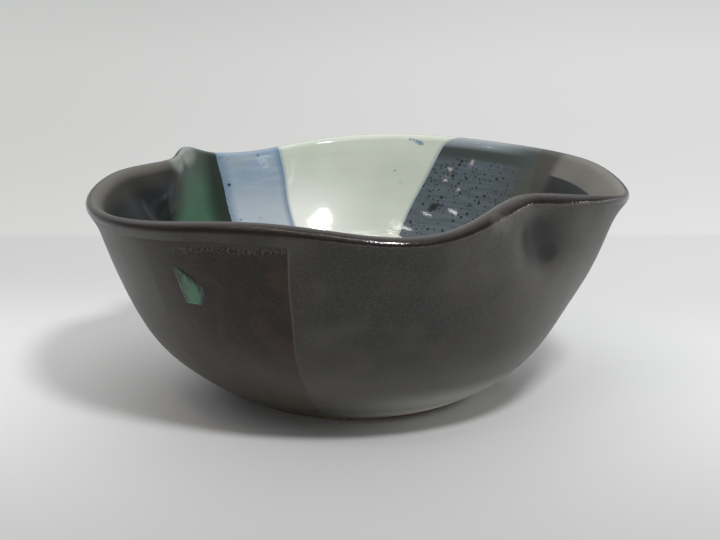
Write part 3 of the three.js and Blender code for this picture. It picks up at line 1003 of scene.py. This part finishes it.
class BOWL_OT_liners(bpy.types.Operator):
    """Pour the five glazes inside, each a fan from the lip to the middle of the floor"""

    bl_idname = "bowl.liners"
    bl_label = "Glazes inside"

    def execute(self, context):
        bowl = Bowl(context.scene)
        coats = bowl.coats
        runs = graded_runs(0.0, bowl.section.floor_run, ROW_STEP)[:, None]
        slate, white, blue, green, iron = (
            (meeting, bowl.meeting_bearing(meeting, runs, INSIDE, 0.35, curl))
            for meeting, curl in (
                (coats.iron_to_blue, 0.0),
                (coats.blue_to_white, coats.slate_curl),
                (coats.white_to_blue, 0.0),
                (coats.blue_to_green, 0.0),
                (coats.green_to_iron, 0.0),
            )
        )
        for name, node, start, end, glaze in (
            ("slate_blue_inside", "liner_blue_right", slate, white, slate_blue_glaze),
            ("white_inside", "liner_white", white, blue, white_glaze),
            ("pale_blue_inside", "liner_blue_left", blue, green, pale_blue_glaze),
            ("green_inside", "liner_green", green, iron, green_glaze),
            ("iron_inside", "liner_iron", iron, slate, liner_iron_glaze),
        ):
            first = start[1]
            last = first + (end[1] - first) % 360
            count = int(round((end[0][0] - start[0][0]) % 360)) + 1
            across = np.linspace(0, 1, count)[None, :]
            bearing = first + (last - first) * across
            run = np.broadcast_to(runs, bearing.shape)
            front = bowl.surface(run, bearing, bowl.rings(run, bearing))
            back = bowl.surface(run, bearing, -coats.glaze_thickness)
            facts = place_facts(run, bearing, across)
            mesh = coat_mesh(name, front, back, facts, pole=True)
            add_piece(mesh, glaze(bowl), node)
        return {"FINISHED"}


# Directions from the bowl: to the dim side of the room, and to its low lit wall
DIM_SIDE = (0.1, -0.99, 0)
WALL_SIDE = (0.8, -0.6, 0)

WHITE, WARM, COPPER = (1.0, 1.0, 1.0), (1.0, 0.86, 0.8), (1.0, 0.72, 0.58)
LAMP_DISTANCE = 1.2
LAMPS_FACE = Vector((0, 0, mm(40)))
TABLE_REACH = 6.0

# Name, azimuth from +Y towards +X and elevation in degrees, width and height in metres, watts, tint
LAMPS = (
    ("window", 152, 54.5, 0.22, 0.19, 8.0, WHITE),
    ("panel_left", -139.5, 57, 0.24, 0.014, 0.14, WHITE),
    ("tube_left_upper", -128, 49, 0.1, 0.006, 0.035, WHITE),
    ("tube_left_lower", -113.5, 46, 0.12, 0.006, 0.04, WHITE),
    ("warm_lamp_far_left", -119.5, 40.8, 0.03, 0.007, 0.006, WARM),
    ("warm_lamp_left", -129.5, 39, 0.04, 0.008, 0.012, WARM),
    ("warm_tube_left", -125, 62, 0.6, 0.012, 0.5, COPPER),
    ("lamp_right_low", 122.5, 20.5, 0.03, 0.015, 0.025, WHITE),
    ("soft_right_low", 132, 27, 0.03, 0.03, 0.02, WHITE),
    ("strip_above", 180, 66, 0.5, 0.09, 0.75, WHITE),
    ("panel_right", 80, 15, 0.2, 0.04, 0.25, WHITE),
)


class BOWL_OT_stage(bpy.types.Operator):
    """Set the table, the lamps and the camera"""

    bl_idname = "bowl.stage"
    bl_label = "Stage"

    def execute(self, context):
        scene = context.scene
        stage = scene.bowl_stage
        self.floor(scene)
        self.lamps(scene)
        data = bpy.data.cameras.new("photo_camera")
        data.lens = stage.lens_mm
        data.sensor_width = SENSOR_WIDTH
        camera = bpy.data.objects.new("photo_camera", data)
        aim = Vector(stage.aim)
        rise = stage.camera_elevation
        back = Vector((0, -math.cos(rise), math.sin(rise)))
        camera.location = aim + back * stage.camera_distance
        camera.rotation_euler = (-back).to_track_quat("-Z", "Y").to_euler()
        scene.collection.objects.link(camera)
        scene.camera = camera
        scene.view_settings.view_transform = "Standard"
        return {"FINISHED"}

    def floor(self, scene):
        corners = ((-1, -1), (1, -1), (1, 1), (-1, 1))
        points = [(x * TABLE_REACH, y * TABLE_REACH, FLOOR_TOP) for x, y in corners]
        mesh = bpy.data.meshes.new("table")
        mesh.from_pydata(points, [], [(0, 1, 2, 3)])
        floor = bpy.data.objects.new("table", mesh)
        scene.collection.objects.link(floor)
        colours = scene.bowl_colours
        made = Finish("painted_table_and_wall", colours.floor, Roughness=0.6, IOR=1.45)
        edge = scene.bowl_stage.table_edge
        on_right = (made.x, -0.25, 0.25)
        far_side = (made.y, 0.04, 0.16)
        beyond = (made.y, edge - mm(6), edge + mm(6))
        up_the_wall = (made.y, 0.3, 0.9)
        # Painted light: a room's light falls off over the table towards the camera and on its far
        # side, and rises towards the right and up the wall
        made.lay("#d5d6d6", on_right)
        made.lay("#b0b0b1", (made.y, 0.0, -0.16))
        made.lay("#c4c5c5", far_side)
        made.lay("#d1d2d2", far_side, on_right)
        made.lay("#cccecc", beyond)
        made.lay("#d8d9d9", beyond, on_right)
        made.lay(colours.backdrop, up_the_wall)
        made.lay("#e8e9e9", up_the_wall, on_right)
        mesh.materials.append(made.finish())

    def lamps(self, scene):
        world = bpy.data.worlds.new("soft_room")
        world.use_nodes = True
        tree = world.node_tree
        background = tree.nodes["Background"]
        background.inputs["Color"].default_value = (1.0, 1.0, 1.0, 1.0)
        add = partial(add_node, tree)
        # A room bright beyond the bowl and dim in front of it, under a pale ceiling. Its low part
        # beyond the bowl is dimmed, which gives the right lobe its dark patch, and the foot of a
        # wall to the right front is lit
        dot = {"output": "Value", "operation": "DOT_PRODUCT"}
        towards = add("TexCoord", output="Generated")
        _, back, level = add("SeparateXYZ", {0: towards}).node.outputs
        side = add("VectorMath", {0: towards, 1: DIM_SIDE}, **dot)
        room = add("MapRange", {0: side, 1: -0.85, 2: 0.25, 3: 1.08, 4: 0.2}, **SMOOTH)
        ceiling = add("MapRange", {0: level, 1: 0.5, 2: 0.95, 3: 0.0, 4: 0.6}, **SMOOTH)
        room = add("Math", {0: room, 1: ceiling}, operation="ADD")
        behind = add("MapRange", {0: back, 1: -0.2, 2: 0.3}, **SMOOTH)
        low = add("MapRange", {0: level, 1: 0.6, 2: 0.3, 3: 0.0, 4: 0.62}, **SMOOTH)
        dimmed = add("Math", {0: behind, 1: low}, operation="MULTIPLY")
        lit = add("Math", {0: 1.0, 1: dimmed}, operation="SUBTRACT")
        room = add("Math", {0: room, 1: lit}, operation="MULTIPLY")
        side = add("VectorMath", {0: towards, 1: WALL_SIDE}, **dot)
        wall = add("MapRange", {0: side, 1: -0.1, 2: 0.5, 3: 0.0, 4: 1.4}, **SMOOTH)
        foot_of_wall = add("MapRange", {0: level, 1: 0.24, 2: 0.1}, **SMOOTH)
        light = add("Math", {0: wall, 1: foot_of_wall, 2: room}, operation="MULTIPLY_ADD")
        tree.links.new(light, background.inputs["Strength"])
        scene.world = world
        for name, azimuth, elevation, wide, tall, power, tint in LAMPS:
            data = bpy.data.lights.new(name, "AREA")
            data.shape = "ELLIPSE"
            data.size = wide
            data.size_y = tall
            data.energy = power
            data.color = tint
            lamp = bpy.data.objects.new(name, data)
            turned, raised = math.radians(azimuth), math.radians(elevation)
            ray = Vector(
                (
                    math.sin(turned) * math.cos(raised),
                    math.cos(turned) * math.cos(raised),
                    math.sin(raised),
                )
            )
            lamp.location = LAMPS_FACE + ray * LAMP_DISTANCE
            lamp.rotation_euler = ray.to_track_quat("Z", "Y").to_euler()
            scene.collection.objects.link(lamp)


OPERATORS = (
    BOWL_OT_clay_body,
    BOWL_OT_outer_glaze,
    BOWL_OT_second_pour,
    BOWL_OT_green_splash,
    BOWL_OT_liners,
    BOWL_OT_stage,
)


class BOWL_PT_sidebar(bpy.types.Panel):
    """Lists the bowl's pieces and its sizes"""

    bl_idname = "BOWL_PT_sidebar"
    bl_label = "Altered bowl"
    bl_space_type = "VIEW_3D"
    bl_region_type = "UI"
    bl_category = "Bowl"

    def draw(self, context):
        for operator in OPERATORS:
            self.layout.operator(operator.bl_idname)
        for name, group in SETTINGS.items():
            box = self.layout.box()
            box.label(text=group.__doc__)
            for key in group.__annotations__:
                box.prop(getattr(context.scene, name), key)


CLASSES = (*SETTINGS.values(), *OPERATORS, BOWL_PT_sidebar)


def register():
    for made in CLASSES:
        bpy.utils.register_class(made)
    for name, group in SETTINGS.items():
        setattr(bpy.types.Scene, name, bpy.props.PointerProperty(type=group))


def unregister():
    for name in SETTINGS:
        delattr(bpy.types.Scene, name)
    for made in reversed(CLASSES):
        bpy.utils.unregister_class(made)


def main():
    register()
    bpy.ops.bowl.clay_body()
    bpy.ops.bowl.outer_glaze()
    bpy.ops.bowl.second_pour()
    bpy.ops.bowl.green_splash()
    bpy.ops.bowl.liners()
    bpy.ops.bowl.stage()


if __name__ == "__main__":
    main()
